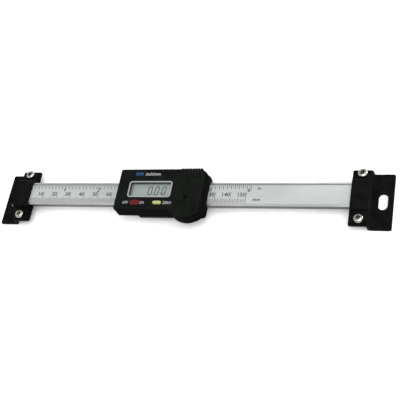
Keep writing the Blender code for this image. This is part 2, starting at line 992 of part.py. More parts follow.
def make_connector(name, head, low):
    strip = block(opening_left, opening_right, low, low + connector_width,
                  board_top + glue_line, lcd_bottom - glue_line)
    put(strip, name, connector_rubber(), parent=head, origin=(opening_left, low, board_top))


def make_circuit_board(head):
    board = block(pocket_left + seat_gap, pocket_right - seat_gap,
                  carriage_lower, carriage_upper, board_bottom, board_top)
    put(board, "circuit_board", green_board(), parent=head, origin=(pocket_left, 0, board_bottom))


def make_chip_blob(head):
    base = board_top + glue_line
    profile = [(0, chip_height)]
    for share in blob_shares:
        profile.append((chip_radius * share, chip_height * math.sqrt(1 - share ** 2)))
    profile += [(chip_radius, 0), (0, 0)]
    x = window_left + chip_offset
    put(moved(turned(profile), (x, window_y, base)), "chip_blob", resin(), parent=head,
        origin=(x, window_y, base))


# Buttons and their rubber pads

def make_button(name, head, material):
    x, y, size = button_places()[name]
    flange_top = inner_face - seat_gap
    flange_bottom = flange_top - button_flange
    cap_top = face + button_proud
    cap = prism(button_outline(x, y, size, 0), flange_top - button_flange / 2, cap_top)
    cap = bevelled(cap, lambda edge: min(v.co.z for v in edge.verts) > cap_top - glue_line, button_edge, 3)
    made = put(cap, name, material, (x, y, flange_bottom), head)
    join(made, prism(button_outline(x, y, size, button_flange_reach), flange_bottom, flange_top))
    stem = button_outline(x, y, size, -button_flange_reach)
    join(made, prism(stem, flange_bottom - button_stem_length, flange_bottom + button_flange / 2))


def make_button_pad(name, head):
    x, y, _ = button_places()[name]
    stem_bottom = inner_face - seat_gap - button_flange - button_stem_length
    top = stem_bottom - button_travel - seat_gap
    low = board_top + glue_line
    half = pad_side / 2
    rings = []
    for rise_share, width_share in pad_shares:
        reach = half * width_share
        z = low + (top - low) * rise_share
        outline = round_rectangle(x - reach, x + reach, y - reach, y + reach, reach / 3, 2)
        rings.append([(u, v, z) for u, v in outline])
    put(loft(rings), name + "_pad", pad_rubber(), parent=head, origin=(x, y, low))


# Coin cell and contacts

def contact_negative_y():
    return coin_y


def contact_positive_y():
    return coin_y + contact_pitch


def make_coin_cell(head):
    half = coin_radius - coin_edge
    profile = [(0, coin_thickness), (half, coin_thickness), (coin_radius, coin_thickness - coin_edge)]
    profile += [(coin_radius, coin_edge), (half, 0), (0, 0)]
    coin = moved(turned(profile, 2 * round_steps), (coin_x, coin_y, coin_bottom))
    put(coin, "coin_cell", coin_steel(), parent=head, origin=(coin_x, coin_y, coin_bottom))


def contact_foot():
    """The end of a contact that turns down to the board: (x, z) points of its path."""
    return [(split_x - contact_tail, board_top + glue_line), (split_x - contact_tail, contact_bottom)]


def make_negative_contact(head):
    low, high = contact_foot()
    right = split_x + contact_reach
    t = contact_sheet
    profile = [low, (low[0] + t, low[1]), (low[0] + t, high[1]), (right, high[1]), (right, high[1] + t)]
    profile += [(high[0], high[1] + t)]
    y = contact_negative_y()
    leaf = fold(profile, y - contact_width / 2, y + contact_width / 2)
    put(leaf, "battery_contact_negative", spring_brass(), parent=head, origin=(split_x, y, contact_bottom))


def make_positive_contact(head):
    low, high = contact_foot()
    t = contact_sheet
    aside = contact_pitch - contact_width / 2
    right = coin_x - math.sqrt(coin_radius ** 2 - aside ** 2) - seat_gap
    top = coin_top - contact_dip
    profile = [low, (low[0] + t, low[1]), (low[0] + t, high[1]), (right, high[1]), (right, top)]
    profile += [(right - t, top), (right - t, high[1] + t), (high[0], high[1] + t)]
    y = contact_positive_y()
    leaf = fold(profile, y - contact_width / 2, y + contact_width / 2)
    put(leaf, "battery_contact_positive", spring_brass(), parent=head, origin=(split_x, y, contact_bottom))


# Carriage, gib and rear cover

def gib_screw_places():
    margin = rear_screw_end_margin + gib_screw_gap
    return rear_left + margin, rear_right - margin


def rear_screw_places():
    left = rear_left + rear_screw_end_margin
    right = rear_right - rear_screw_end_margin
    upper, lower = rail_rows()
    return {
        "left_upper": (left, upper),
        "left_lower": (left, lower),
        "right_upper": (right, upper),
        "right_lower": (right, lower),
    }


def make_carriage(head):
    radius = end_corner - wall
    outline = round_rectangle(carriage_left, carriage_right, carriage_lower, carriage_upper, radius)
    carriage = put(prism(outline, rail_bottom, deck_top), "carriage", cast_metal(), parent=head,
                   origin=(head_rest_x, 0, rail_bottom))
    cut(carriage, block(carriage_left - overrun, carriage_right + overrun, channel_lower, channel_upper,
                        rail_bottom - overrun, deck_bottom))
    cut(carriage, block(pocket_left, pocket_right, carriage_lower - overrun, carriage_upper + overrun,
                        deck_bottom, deck_top + overrun))
    radius = small_shank_diameter / 2 + seat_gap
    holes = []
    for x, y in rear_screw_places().values():
        holes.append(drill(x, y, radius, rail_bottom - overrun, rail_bottom + rear_screw_depth + seat_gap))
    for x, y in housing_screw_places().values():
        holes.append(drill(x, y, radius, rail_bottom - overrun, deck_top + overrun))
    holes.append(drill(*bay_screw_place(), radius, deck_top - bay_screw_depth - seat_gap, deck_top + overrun))
    cut(carriage, *holes)
    radius = gib_screw_diameter / 2 + seat_gap
    bores = []
    for x in gib_screw_places():
        bore = turned([(0, overrun), (radius, overrun), (radius, channel_upper - carriage_upper - overrun),
                       (0, channel_upper - carriage_upper - overrun)])
        bores.append(moved(turned_over(bore, -90, "X"), (x, carriage_upper, gib_screw_z)))
    cut(carriage, *bores)


def make_gib_strip(head):
    left = carriage_left + gib_end_margin
    right = carriage_right - gib_end_margin
    low = half_beam + seat_gap
    gib = block(left, right, low, low + gib_thickness,
                beam_bottom + gib_side_margin, beam_top - gib_side_margin)
    put(gib, "gib_strip", spring_brass(), parent=head, origin=(left, low, beam_bottom))


def make_gib_screw(name, head, x):
    length = carriage_upper - channel_upper
    radius = gib_screw_diameter / 2
    tip = radius / 2
    profile = [(0, 0), (radius, 0), (radius, tip - length), (radius - tip, -length), (0, -length)]
    y = carriage_upper
    z = gib_screw_z
    screw = moved(turned_over(turned(profile), -90, "X"), (x, y, z))
    made = put(screw, name, bright_screw(), parent=head, origin=(x, y, z))
    slot = block(x - radius - overrun, x + radius + overrun, y - small_cross_depth, y + overrun,
                 z - small_cross_width / 2, z + small_cross_width / 2)
    cut(made, slot)


def make_rear_cover(head):
    outer = rear_bend + rear_sheet
    flange_top = rim - seat_gap
    corner = (rear_half - outer, rear_bottom + outer)
    half = [(rear_half, flange_top)]
    half += [(rear_half - rear_sheet, flange_top)]
    half += arc(corner, rear_bend, 0, -90, corner_steps)
    under = arc(corner, outer, -90, 0, corner_steps)
    profile = under + half
    mirrored = [(-y, z) for y, z in reversed(profile)]
    cover = bar(profile + mirrored, rear_left, rear_right)
    made = put(cover, "rear_cover", black_paint(), parent=head, origin=(rear_left, 0, rear_bottom))
    radius = small_shank_diameter / 2 + seat_gap
    places = rear_screw_places().values()
    cut(made, *[drill(x, y, radius, rear_bottom - overrun, rear_top + overrun) for x, y in places])


def make_small_screw(name, head, x, y, bearing, tip):
    """The screw's head rests on the bearing face; the tip may lie above it or below."""
    angle = 180 if tip > bearing else 0
    screw = pan_screw(small_head_diameter, small_head_height, small_shank_diameter, abs(tip - bearing))
    screw = moved(turned_over(screw, angle, "X"), (x, y, bearing))
    made = put(screw, name, bright_screw(), parent=head, origin=(x, y, bearing))
    recess = cross_tool(small_cross_width, small_cross_length, small_cross_depth, small_head_height)
    cut(made, moved(turned_over(recess, angle, "X"), (x, y, bearing)))


def make_head_screws(head):
    for place, (x, y) in rear_screw_places().items():
        tip = rail_bottom + rear_screw_depth
        make_small_screw("rear_screw_" + place, head, x, y, rear_bottom - seat_gap, tip)
    for place, (x, y) in housing_screw_places().items():
        make_small_screw("housing_screw_" + place, head, x, y, rail_bottom - seat_gap, housing_screw_top())
    x, y = bay_screw_place()
    make_small_screw("housing_screw_bay", head, x, y, floor_top + seat_gap, deck_top - bay_screw_depth)


def make_fixed_group():
    make_beam()
    make_scale_strip()
    make_ruler_film()
    for word, side in (("left", -1), ("right", 1)):
        make_bracket(word + "_bracket", side)
        make_strap(word + "_clamp_strap", side)
        x = side * (seat_inner + screw_inset)
        make_bracket_screw("bracket_screw_" + word + "_upper", x, screw_row)
        make_bracket_screw("bracket_screw_" + word + "_lower", x, -screw_row)


def make_reading_head():
    head = bpy.data.objects.new("head_slide", None)
    bpy.context.scene.collection.objects.link(head)
    head.location = (head_rest_x, 0, beam_bottom + beam_thickness / 2)
    make_front_housing(head)
    make_battery_cover(head)
    make_window_frame(head)
    make_window_lens(head)
    make_lcd_panel(head)
    make_connector("lcd_connector_upper", head, lcd_upper - connector_width)
    make_connector("lcd_connector_lower", head, lcd_lower)
    make_circuit_board(head)
    make_chip_blob(head)
    make_button("unit_button", head, blue_plastic())
    make_button("power_button", head, red_plastic())
    make_button("zero_button", head, yellow_plastic())
    for name in button_places():
        make_button_pad(name, head)
    make_coin_cell(head)
    make_negative_contact(head)
    make_positive_contact(head)
    make_carriage(head)
    make_gib_strip(head)
    left, right = gib_screw_places()
    make_gib_screw("gib_screw_left", head, left)
    make_gib_screw("gib_screw_right", head, right)
    make_rear_cover(head)
    make_head_screws(head)


clear_scene()
make_fixed_group()
make_reading_head()
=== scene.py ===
import math

import bmesh
import bpy
from mathutils import Matrix, Vector


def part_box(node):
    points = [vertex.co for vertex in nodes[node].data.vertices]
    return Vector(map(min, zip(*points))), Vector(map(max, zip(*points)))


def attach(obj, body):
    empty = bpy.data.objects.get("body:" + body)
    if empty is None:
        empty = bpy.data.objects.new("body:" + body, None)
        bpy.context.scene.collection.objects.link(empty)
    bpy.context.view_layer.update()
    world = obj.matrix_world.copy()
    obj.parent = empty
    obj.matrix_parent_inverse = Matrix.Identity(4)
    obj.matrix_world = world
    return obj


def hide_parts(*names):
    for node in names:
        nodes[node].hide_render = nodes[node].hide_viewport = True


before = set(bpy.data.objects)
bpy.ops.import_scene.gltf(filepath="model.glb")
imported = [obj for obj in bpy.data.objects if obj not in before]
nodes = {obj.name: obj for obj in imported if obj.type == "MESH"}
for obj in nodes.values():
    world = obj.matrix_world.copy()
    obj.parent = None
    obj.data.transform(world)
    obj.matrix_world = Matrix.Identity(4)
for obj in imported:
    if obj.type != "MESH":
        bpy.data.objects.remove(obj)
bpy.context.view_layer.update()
mm = 0.001


# Beam. One bar of stainless steel, drawn to 16 by 3.5 mm, then ground lengthwise on its face, which
# leaves fine lines along it. Its long side faces are painted much darker than the face, as painted
# shade. A shallow groove in the face takes the scale strip, and a narrow ground lip stays on either
# side of it.

def new_finish(name, colour, roughness, metal=0.0):
    finish = bpy.data.materials.new(name)
    finish.use_nodes = True
    shader = finish.node_tree.nodes["Principled BSDF"]
    shader.inputs["Base Color"].default_value = (*colour, 1.0)
    shader.inputs["Roughness"].default_value = roughness
    shader.inputs["Metallic"].default_value = metal
    return finish


def shader_of(finish):
    return finish.node_tree.nodes["Principled BSDF"]


def add_step(finish, kind, **values):
    step = finish.node_tree.nodes.new(kind)
    for name, value in values.items():
        step.inputs[name].default_value = value
    return step


def feed(finish, source, target):
    finish.node_tree.links.new(source, target)


def over_piece(finish, stretch=(1, 1, 1)):
    """Where a point lies on the piece, squeezed along the axes for a grain that runs one way."""
    where = add_step(finish, "ShaderNodeTexCoord")
    squeezed = add_step(finish, "ShaderNodeMapping", Scale=stretch)
    feed(finish, where.outputs["Object"], squeezed.inputs["Vector"])
    return squeezed.outputs["Vector"]


def grain(finish, patch, stretch=(1, 1, 1), detail=4.0):
    """Cloudy variation whose patches are about that wide."""
    noise = add_step(finish, "ShaderNodeTexNoise", Scale=1 / patch, Detail=detail, Roughness=0.6)
    feed(finish, over_piece(finish, stretch), noise.inputs["Vector"])
    return noise.outputs["Fac"]


def between(finish, source, low, high, start=0.35, end=0.65):
    """A value that runs from low to high while the source runs from start to end."""
    spread = add_step(finish, "ShaderNodeMapRange")
    feed(finish, source, spread.inputs["Value"])
    spread.inputs["From Min"].default_value = start
    spread.inputs["From Max"].default_value = end
    spread.inputs["To Min"].default_value = low
    spread.inputs["To Max"].default_value = high
    return spread.outputs["Result"]


def tint(finish, source, dark, light, start=0.35, end=0.65):
    ramp = add_step(finish, "ShaderNodeValToRGB")
    ramp.color_ramp.elements[0].position = start
    ramp.color_ramp.elements[0].color = (*dark, 1.0)
    ramp.color_ramp.elements[1].position = end
    ramp.color_ramp.elements[1].color = (*light, 1.0)
    feed(finish, source, ramp.inputs["Fac"])
    return ramp.outputs["Color"]


def relief(finish, source, height, under=None):
    """Small hollows and bumps of about that height, laid over those already there."""
    bump = add_step(finish, "ShaderNodeBump", Strength=1.0, Distance=height)
    feed(finish, source, bump.inputs["Height"])
    if under is not None:
        feed(finish, under, bump.inputs["Normal"])
    return bump.outputs["Normal"]


def along(finish, axis):
    """Where a point lies along one axis."""
    where = add_step(finish, "ShaderNodeTexCoord")
    split = add_step(finish, "ShaderNodeSeparateXYZ")
    feed(finish, where.outputs["Object"], split.inputs["Vector"])
    return split.outputs[axis]


def across(finish, axis):
    """Distance from the middle of the object along one axis, always positive."""
    size = add_step(finish, "ShaderNodeMath")
    size.operation = "ABSOLUTE"
    feed(finish, along(finish, axis), size.inputs[0])
    return size.outputs["Value"]


def mixed(finish, share, first, second):
    """The first colour where the share is 0 and the second where it is 1."""
    mix = add_step(finish, "ShaderNodeMix")
    mix.data_type = "RGBA"
    feed(finish, share, mix.inputs[0])
    feed(finish, first, mix.inputs[6])
    feed(finish, second, mix.inputs[7])
    return mix.outputs[2]


def dress(node, finish):
    """Gives a CAD piece its finish."""
    data = nodes[node].data
    data.materials.clear()
    data.materials.append(finish)


def ground_steel():
    finish = new_finish("ground_stainless", (0.6, 0.61, 0.61), 0.34, 1.0)
    lines = grain(finish, 0.12 * mm, (0.02, 1, 1), 3)
    cloud = grain(finish, 9 * mm, (0.4, 1, 1))
    face_ends = 7.97 * mm
    side_starts = 7.99 * mm
    # Painted shade: past the lips, the long side faces get a much darker colour than the ground face.
    edge = between(finish, across(finish, "Y"), 0, 1, face_ends, side_starts)
    face = tint(finish, cloud, (0.48, 0.49, 0.485), (0.56, 0.57, 0.565))
    painted_side_shade = tint(finish, cloud, (0.07, 0.075, 0.07), (0.125, 0.13, 0.125))
    feed(finish, mixed(finish, edge, face, painted_side_shade), shader_of(finish).inputs["Base Color"])
    feed(finish, between(finish, lines, 0.27, 0.42), shader_of(finish).inputs["Roughness"])
    feed(finish, relief(finish, lines, 0.004 * mm), shader_of(finish).inputs["Normal"])
    return finish


dress("beam", ground_steel())


# Scale strip. A thin glass-epoxy strip bonded in the groove, with copper fields etched across it
# that the head reads by capacitance. It shows only where the ruler film is lifted.

def etched_copper():
    finish = new_finish("etched_copper_strip", (0.5, 0.3, 0.12), 0.4)
    bands = add_step(finish, "ShaderNodeTexWave", Scale=1.0)
    bands.bands_direction = "X"
    feed(finish, over_piece(finish, (124, 1, 1)), bands.inputs["Vector"])
    fields = bands.outputs["Fac"]
    colour = tint(finish, fields, (0.16, 0.11, 0.05), (0.62, 0.3, 0.14), 0.45, 0.55)
    feed(finish, colour, shader_of(finish).inputs["Base Color"])
    feed(finish, between(finish, fields, 0.55, 0.3), shader_of(finish).inputs["Roughness"])
    feed(finish, relief(finish, fields, 0.02 * mm), shader_of(finish).inputs["Normal"])
    return finish


dress("scale_strip", etched_copper())


# Ruler film. A silver-grey printed film, bonded over the strip a little below the beam's lips. Its
# marks are black ink: millimetres from the lower edge with a long line at every ten, and tenths of
# an inch from the upper edge. Along that edge a dark band is painted on the film as the shadow of
# the lip beside it.

ink = 0.03 * mm
film_low, film_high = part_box("ruler_film")
film_face = film_high.z
zero_mark = -106.7 * mm
inch = 25.4 * mm


def silver_film():
    finish = new_finish("silver_ruler_film", (0.56, 0.575, 0.57), 0.42, 0.25)
    lines = grain(finish, 0.1 * mm, (0.03, 1, 1), 2)
    cloud = grain(finish, 14 * mm, (0.3, 1, 1))
    colour = tint(finish, cloud, (0.37, 0.384, 0.374), (0.44, 0.454, 0.45))
    # Painted shadow: a dark band along the film's upper edge stands for the shadow of the beam's lip.
    lip_shadow = tint(finish, lines, (0.05, 0.052, 0.05), (0.09, 0.092, 0.09))
    lip_shadow_starts = film_high.y - 0.36 * mm
    lip_shadow_full = film_high.y - 0.3 * mm
    in_lip_shadow = between(finish, along(finish, "Y"), 0, 1, lip_shadow_starts, lip_shadow_full)
    feed(finish, mixed(finish, in_lip_shadow, colour, lip_shadow), shader_of(finish).inputs["Base Color"])
    feed(finish, between(finish, lines, 0.36, 0.5), shader_of(finish).inputs["Roughness"])
    feed(finish, relief(finish, lines, 0.002 * mm), shader_of(finish).inputs["Normal"])
    return finish


def black_ink():
    finish = new_finish("black_ruler_ink", (0.02, 0.02, 0.022), 0.5)
    cloud = grain(finish, 0.4 * mm)
    colour = tint(finish, cloud, (0.012, 0.012, 0.014), (0.045, 0.045, 0.048))
    feed(finish, colour, shader_of(finish).inputs["Base Color"])
    feed(finish, between(finish, cloud, 0.4, 0.6), shader_of(finish).inputs["Roughness"])
    return finish


def start_piece():
    """Leaves edit mode and deselects everything, as the load leaves the CAD pieces selected."""
    if bpy.context.object is not None and bpy.context.object.mode != "OBJECT":
        bpy.ops.object.mode_set(mode="OBJECT")
    bpy.ops.object.select_all(action="DESELECT")


def pick(kind, test):
    """In edit mode, selects the faces, edges or corners that pass the test, and nothing else."""
    data = bpy.context.object.data
    bpy.ops.mesh.select_mode(type=kind)
    bpy.ops.mesh.select_all(action="DESELECT")
    body = bmesh.from_edit_mesh(data)
    group = {"FACE": body.faces, "EDGE": body.edges, "VERT": body.verts}[kind]
    for item in group:
        if test(item):
            item.select_set(True)
    body.select_flush_mode()
    bmesh.update_edit_mesh(data)


def edge_middle(edge):
    return (edge.verts[0].co + edge.verts[1].co) / 2


def is_upright(edge):
    a, b = (corner.co for corner in edge.verts)
    return abs(a.z - b.z) > 0.9 * (a - b).length


def block_piece(name, low, high):
    """A cube at its size and place, left in edit mode to be shaped."""
    start_piece()
    middle = (Vector(low) + Vector(high)) / 2
    bpy.ops.mesh.primitive_cube_add(size=1, location=middle)
    piece = bpy.context.object
    piece.name = name
    bpy.ops.object.mode_set(mode="EDIT")
    bpy.ops.mesh.select_all(action="SELECT")
    bpy.ops.transform.resize(value=Vector(high) - Vector(low), center_override=middle)
    bpy.ops.object.mode_set(mode="OBJECT")
    bpy.ops.object.transform_apply(location=True, rotation=True, scale=True)
    bpy.ops.object.mode_set(mode="EDIT")
    return piece


def apply_all(piece):
    start_piece()
    piece.select_set(True)
    bpy.context.view_layer.objects.active = piece
    for modifier in list(piece.modifiers):
        bpy.ops.object.modifier_apply(modifier=modifier.name)


def joined(name, pieces):
    """Several meshes of one piece as one object."""
    start_piece()
    for piece in pieces:
        piece.select_set(True)
    bpy.context.view_layer.objects.active = pieces[0]
    if len(pieces) > 1:
        bpy.ops.object.join()
    piece = bpy.context.object
    piece.name = name
    piece.data.name = name
    return piece


def finish_piece(piece, finish, body):
    """The finish, and the body that it moves with."""
    piece.data.materials.clear()
    piece.data.materials.append(finish)
    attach(piece, body)


def ink_bars(name, left, width, low, high, foot, count=1, pitch=1.0):
    """Printed bars with a slightly rounded top, one after the other along the beam."""
    bar = block_piece(name, (left, low, foot - ink / 4), (left + width, high, foot + ink * 0.7))
    pick("FACE", lambda face: face.normal.z > 0.9)
    bpy.ops.mesh.inset(thickness=width * 0.18, depth=ink * 0.3)
    bpy.ops.object.mode_set(mode="OBJECT")
    row = bar.modifiers.new("row", "ARRAY")
    row.use_relative_offset = False
    row.use_constant_offset = True
    row.constant_offset_displace = (pitch, 0, 0)
    row.count = count
    apply_all(bar)
    return bar


def lettering(text, height, middle, foot, width=None, weight=0.0):
    """Printed letters or numbers of that height, standing on the face at foot."""
    start_piece()
    bpy.ops.object.text_add(location=(0, 0, 0))
    words = bpy.context.object
    words.data.body = text
    words.data.size = 1.0
    words.data.resolution_u = 3
    words.data.offset = weight
    words.data.extrude = 0.5
    bpy.ops.object.convert(target="MESH")
    words = bpy.context.object
    corners = [corner.co for corner in words.data.vertices]
    low = Vector([min(corner[i] for corner in corners) for i in range(3)])
    high = Vector([max(corner[i] for corner in corners) for i in range(3)])
    size = high - low
    tall = height / size.y
    wide = tall if width is None else width / size.x
    words.scale = (wide, tall, ink)
    words.location = (middle[0] - wide * (low.x + high.x) / 2,
                      middle[1] - tall * (low.y + high.y) / 2, foot + ink * 0.25)
    bpy.ops.object.transform_apply(location=True, rotation=True, scale=True)
    bpy.ops.object.mode_set(mode="EDIT")
    bpy.ops.mesh.select_all(action="SELECT")
    bpy.ops.mesh.remove_doubles(threshold=0.0005 * mm)
    bpy.ops.mesh.normals_make_consistent(inside=False)
    bpy.ops.object.mode_set(mode="OBJECT")
    return words


dress("ruler_film", silver_film())
ruler_ink = black_ink()

line = 0.27 * mm
first_line = zero_mark - line / 2
lower = film_low.y + 0.25 * mm
long_from = lower + 2.8 * mm
end_of_ones = lower + 2.9 * mm
end_of_fives = lower + 3.9 * mm
end_of_tens = lower + 7.6 * mm
millimetres = [ink_bars("marks", first_line, line, lower, end_of_ones, film_face, 151, mm),
               ink_bars("marks", first_line + 5 * mm, line, long_from, end_of_fives, film_face, 15, 10 * mm),
               ink_bars("marks", first_line, line, long_from, end_of_tens, film_face, 16, 10 * mm)]
finish_piece(joined("ruler_millimetre_lines", millimetres), ruler_ink, "base")

bold = 0.4 * mm
first_bold = zero_mark - bold / 2
upper = film_high.y - 0.2 * mm
end_of_twentieths = upper - 1.5 * mm
end_of_tenths = upper - 2.9 * mm
end_of_inches = upper - 3.9 * mm
inches = [ink_bars("marks", first_line, line, end_of_twentieths, upper, film_face, 121, inch / 20),
          ink_bars("marks", first_bold, bold, end_of_tenths, upper - 1.4 * mm, film_face, 61, inch / 10),
          ink_bars("marks", first_bold, bold, end_of_inches, upper - 2.8 * mm, film_face, 7, inch)]
finish_piece(joined("ruler_inch_lines", inches), ruler_ink, "base")

stroke = 0.02
tens_tall = 2.7 * mm
tens_row = -0.35 * mm
inches_tall = 2.5 * mm
inches_row = 2.75 * mm
numbers = []
for tens in range(1, 16):
    right = zero_mark + tens * 10 * mm - 0.45 * mm
    wide = (3.4 if tens < 10 else 4.9) * mm
    middle = (right - wide / 2, tens_row)
    numbers.append(lettering(str(10 * tens), tens_tall, middle, film_face, wide, stroke))
for inches_along in range(1, 7):
    wide = (0.5 if inches_along == 1 else 1.75) * mm
    right = zero_mark + inches_along * inch - bold / 2 - 0.1 * mm
    middle = (right - wide / 2, inches_row)
    numbers.append(lettering(str(inches_along), inches_tall, middle, film_face, wide, stroke))
numbers.append(lettering("in", 1.8 * mm, (51.0 * mm, 4.0 * mm), film_face, 2.2 * mm, stroke))
numbers.append(lettering("mm", 1.6 * mm, (50.1 * mm, -3.9 * mm), film_face, 4.7 * mm, stroke))
finish_piece(joined("ruler_numbers", numbers), ruler_ink, "base")


# Feet and clamp straps. Each foot is folded from 1.5 mm steel sheet into a step, with a slot in
# its low flange for the machine's bolt. A hat-shaped strap of the same sheet holds the beam's end
# down on it. Both are stove-enamelled black, a little thin and shiny along the edges.

def edge_share(finish, reach):
    """1 along the sharp edges of a piece and 0 on its flats."""
    soft = add_step(finish, "ShaderNodeBevel", Radius=reach)
    soft.samples = 4
    flat = add_step(finish, "ShaderNodeNewGeometry")
    likeness = add_step(finish, "ShaderNodeVectorMath")
    likeness.operation = "DOT_PRODUCT"
    feed(finish, soft.outputs["Normal"], likeness.inputs[0])
    feed(finish, flat.outputs["Normal"], likeness.inputs[1])
    return between(finish, likeness.outputs["Value"], 1, 0, 0.86, 0.985)


def black_enamel():
    finish = new_finish("black_enamel", (0.004, 0.004, 0.0042), 0.42)
    shader_of(finish).inputs["Specular IOR Level"].default_value = 0.012
    peel = grain(finish, 0.7 * mm, detail=2)
    cloud = grain(finish, 6 * mm)
    speck = grain(finish, 0.25 * mm)
    flat = tint(finish, cloud, (0.003, 0.0034, 0.0032), (0.006, 0.0066, 0.0063))
    bare = tint(finish, speck, (0.005, 0.005, 0.005), (0.018, 0.018, 0.018), 0.5, 0.75)
    colour = mixed(finish, edge_share(finish, 0.25 * mm), flat, bare)
    feed(finish, colour, shader_of(finish).inputs["Base Color"])
    feed(finish, between(finish, cloud, 0.38, 0.52), shader_of(finish).inputs["Roughness"])
    normal = relief(finish, speck, 0.004 * mm, relief(finish, peel, 0.012 * mm))
    feed(finish, normal, shader_of(finish).inputs["Normal"])
    return finish


enamel = black_enamel()
for node in ("left_bracket", "right_bracket", "left_clamp_strap", "right_clamp_strap"):
    dress(node, enamel)


# Bracket screws. Four bright nickel-plated pan-head screws with a cross recess, 5.5 mm over the
# head, that go down through the straps and are tapped into the feet. Their heads are turned to a
# low dome, and the shanks carry a thread of 0.5 mm pitch.

def bright_nickel():
    finish = new_finish("bright_nickel", (0.5, 0.49, 0.45), 0.2, 1.0)
    cloud = grain(finish, 1.2 * mm)
    speck = grain(finish, 0.15 * mm)
    colour = tint(finish, cloud, (0.29, 0.283, 0.255), (0.46, 0.449, 0.408))
    # Painted shade: where ambient occlusion finds the surface hemmed in, as in the cross recess, the colour
    # turns dark.
    recess_shade = tint(finish, speck, (0.03, 0.03, 0.027), (0.09, 0.088, 0.08))
    open_sky = add_step(finish, "ShaderNodeAmbientOcclusion", Distance=1.6 * mm)
    open_sky.samples = 8
    unshaded = between(finish, open_sky.outputs["AO"], 0, 1, 0.42, 0.92)
    feed(finish, mixed(finish, unshaded, recess_shade, colour), shader_of(finish).inputs["Base Color"])
    feed(finish, between(finish, speck, 0.14, 0.32), shader_of(finish).inputs["Roughness"])
    feed(finish, relief(finish, speck, 0.003 * mm), shader_of(finish).inputs["Normal"])
    return finish


def turn_about(piece, angle, middle):
    """Turns the whole mesh about an upright axis through the middle."""
    piece.data.transform(Matrix.Translation(middle) @ Matrix.Rotation(angle, 4, "Z")
                         @ Matrix.Translation(-Vector(middle)))


def thread_ridge(middle, radius, depth, foot, turns, pitch):
    """A ridge that winds up the shank."""
    start_piece()
    bpy.ops.mesh.primitive_circle_add(vertices=3, radius=depth, fill_type="NOTHING",
                                      location=(radius - depth * 0.35, 0, 0),
                                      rotation=(math.radians(90), 0, 0))
    ridge = bpy.context.object
    bpy.ops.object.transform_apply(location=True, rotation=True, scale=True)
    bpy.ops.object.mode_set(mode="EDIT")
    bpy.ops.mesh.select_all(action="SELECT")
    bpy.ops.transform.rotate(value=math.radians(90), orient_axis="Y",
                             center_override=(radius - depth * 0.35, 0, 0))
    bpy.ops.transform.resize(value=(1, 1, 0.8), center_override=(radius, 0, 0))
    bpy.ops.object.mode_set(mode="OBJECT")
    winding = ridge.modifiers.new("winding", "SCREW")
    winding.axis = "Z"
    winding.angle = math.radians(360)
    winding.screw_offset = pitch
    winding.iterations = turns
    winding.steps = winding.render_steps = 20
    apply_all(ridge)
    ridge.data.transform(Matrix.Translation((middle[0], middle[1], foot)))
    bpy.ops.object.mode_set(mode="EDIT")
    bpy.ops.mesh.select_all(action="SELECT")
    bpy.ops.mesh.fill_holes(sides=4)
    bpy.ops.mesh.select_all(action="SELECT")
    bpy.ops.mesh.normals_make_consistent(inside=False)
    bpy.ops.object.mode_set(mode="OBJECT")
    return ridge


def cut_away(piece, tools):
    """Cuts the tools out of the piece and takes them away."""
    for tool in tools:
        cut = piece.modifiers.new("cut", "BOOLEAN")
        cut.object = tool
        cut.operation = "DIFFERENCE"
        cut.solver = "EXACT"
    apply_all(piece)
    for tool in tools:
        bpy.data.objects.remove(tool)


def pan_head_screw(name, node, turned, finish):
    """One screw in the place and size of its CAD piece."""
    low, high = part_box(node)
    x, y = (low.x + high.x) / 2, (low.y + high.y) / 2
    radius = (high.x - low.x) / 2
    head_tall = 1.9 * mm
    rim_tall = 1.05 * mm
    dome_steps = ((0.05, 0.11), (0.11, 0.16), (0.22, 0.2), (0.42, 0.2), (0.7, 0.13), (0.7, 0.05))
    under_ring = 0.25 * mm
    to_shank = radius - 1.3 * mm
    tip = 0.2 * mm
    rim_edge = 0.12 * mm
    bearing = high.z - head_tall
    start_piece()
    bpy.ops.mesh.primitive_cylinder_add(vertices=56, radius=radius, depth=rim_tall,
                                        location=(x, y, bearing + rim_tall / 2))
    screw = bpy.context.object
    bpy.ops.object.transform_apply(location=True, rotation=True, scale=True)
    bpy.ops.object.mode_set(mode="EDIT")
    pick("FACE", lambda face: face.normal.z > 0.9)
    for inset, rise in dome_steps:
        bpy.ops.mesh.inset(thickness=inset * mm, depth=rise * mm)
    pick("FACE", lambda face: face.normal.z < -0.9)
    bpy.ops.mesh.inset(thickness=under_ring)
    bpy.ops.mesh.inset(thickness=to_shank)
    bpy.ops.mesh.extrude_region_move(TRANSFORM_OT_translate={"value": (0, 0, low.z + tip - bearing)})
    bpy.ops.mesh.inset(thickness=0.25 * mm, depth=tip)
    pick("EDGE", lambda edge: abs(edge_middle(edge).z - bearing) < 0.01 * mm
         and abs((edge_middle(edge).xy - Vector((x, y))).length - radius) < 0.03 * mm)
    bpy.ops.mesh.bevel(offset=rim_edge, segments=2, affect="EDGES")
    bpy.ops.object.mode_set(mode="OBJECT")

    arm_long = 1.9 * mm
    arm_wide = 0.7 * mm
    arm_deep = 1.4 * mm
    recess = block_piece("recess", (x - arm_long, y - arm_wide, high.z - arm_deep),
                         (x + arm_long, y + arm_wide, high.z + 0.5 * mm))
    pick("FACE", lambda face: face.normal.z < -0.9)
    bpy.ops.transform.resize(value=(0.35, 0.55, 1), center_override=(x, y, 0))
    bpy.ops.object.mode_set(mode="OBJECT")
    second = recess.copy()
    second.data = recess.data.copy()
    bpy.context.scene.collection.objects.link(second)
    turn_about(second, math.radians(90), (x, y, 0))
    cut_away(screw, (recess, second))
    thread_radius = 1.25 * mm
    thread_deep = 0.22 * mm
    pitch = 0.5 * mm
    ridge = thread_ridge((x, y), thread_radius, thread_deep, low.z + 0.25 * mm, 8, pitch)
    screw = joined(name, [screw, ridge])
    turn_about(screw, math.radians(turned), (x, y, 0))
    bpy.ops.object.shade_smooth_by_angle(angle=math.radians(35))
    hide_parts(node)
    finish_piece(screw, finish, "base")


